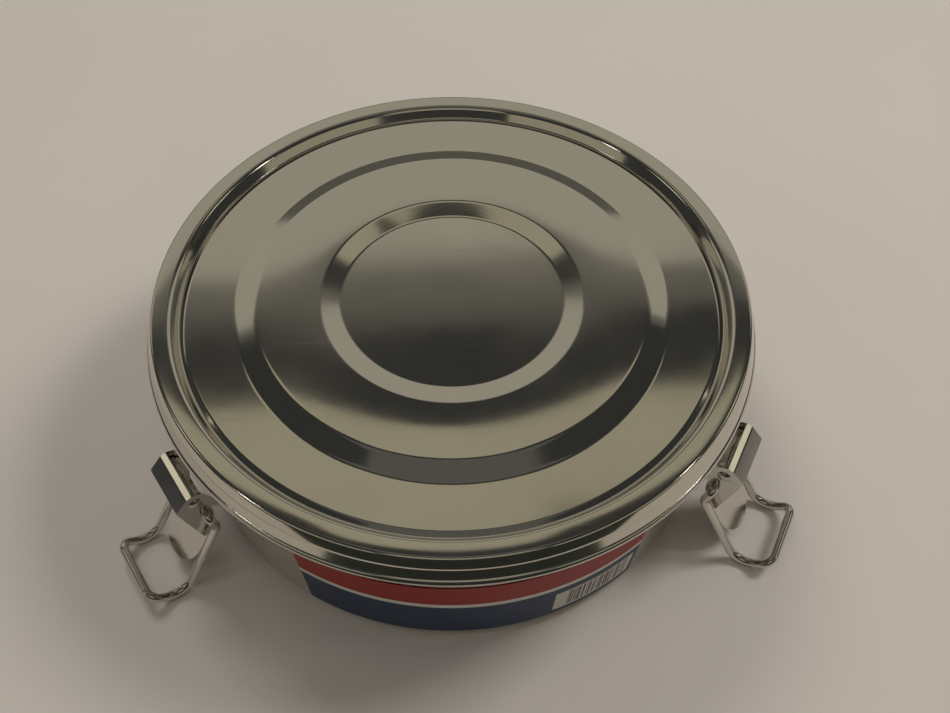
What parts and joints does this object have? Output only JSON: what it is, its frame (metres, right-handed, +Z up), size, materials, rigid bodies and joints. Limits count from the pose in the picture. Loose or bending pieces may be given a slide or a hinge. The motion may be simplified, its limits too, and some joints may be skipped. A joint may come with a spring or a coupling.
{
  "type": "round lidded flan tin with wire clips",
  "caption": "Round shallow stainless tin with a ringed press-on lid held down by over-centre lever clips with wire bails.",
  "frame": {"origin": "centre of the base's underside", "axes": "+Z up through the lid; -Y is the front, midway between two clips; +X to the right seen from the front"},
  "size_m": [0.1954, 0.1926, 0.0579],
  "materials": {
    "pan_steel": "polished drawn stainless sheet with faint turning marks",
    "lid_steel": "mirror-polished stamped stainless sheet with light smudges",
    "clip_steel": "polished stamped sheet",
    "pin_steel": "peened rivet",
    "wire_steel": "bright drawn wire",
    "label_paper": "coated printed paper band, no lettering"
  },
  "bodies": {
    "pan": {"pan_body": "pan_steel", "label_band": "label_paper", "bracket_1": "clip_steel", "bracket_2": "clip_steel", "bracket_3": "clip_steel", "lever_pin_1": "pin_steel", "lever_pin_2": "pin_steel", "lever_pin_3": "pin_steel"},
    "lid": {"lid": "lid_steel"},
    "lever_1": {"lever_1": "clip_steel"},
    "bail_1": {"bail_1": "wire_steel"},
    "lever_2": {"lever_2": "clip_steel"},
    "bail_2": {"bail_2": "wire_steel"},
    "lever_3": {"lever_3": "clip_steel"},
    "bail_3": {"bail_3": "wire_steel"}
  },
  "joints": [
    {"name": "lid_lift", "type": "slide", "parent": "pan", "child": "lid", "axis": [0, 0, 1], "range_m": [0, 0.06]},
    {"name": "lever_1_open", "type": "hinge", "parent": "pan", "child": "lever_1", "pos_m": [-0.07439, -0.04295, 0.0345], "axis": [0.5, -0.866, 0], "range_deg": [-85, 0]},
    {"name": "bail_1_swing", "type": "hinge", "parent": "lever_1", "child": "bail_1", "pos_m": [-0.07318, -0.04225, 0.0285], "axis": [-0.5, 0.866, 0], "range_deg": [0, 153]},
    {"name": "lever_2_open", "type": "hinge", "parent": "pan", "child": "lever_2", "pos_m": [0.07439, -0.04295, 0.0345], "axis": [0.5, 0.866, 0], "range_deg": [-85, 0]},
    {"name": "bail_2_swing", "type": "hinge", "parent": "lever_2", "child": "bail_2", "pos_m": [0.07318, -0.04225, 0.0285], "axis": [-0.5, -0.866, 0], "range_deg": [0, 153]},
    {"name": "lever_3_open", "type": "hinge", "parent": "pan", "child": "lever_3", "pos_m": [0, 0.0859, 0.0345], "axis": [-1, 0, 0], "range_deg": [-85, 0]},
    {"name": "bail_3_swing", "type": "hinge", "parent": "lever_3", "child": "bail_3", "pos_m": [0, 0.0845, 0.0285], "axis": [1, 0, 0], "range_deg": [0, 153]}
  ]
}
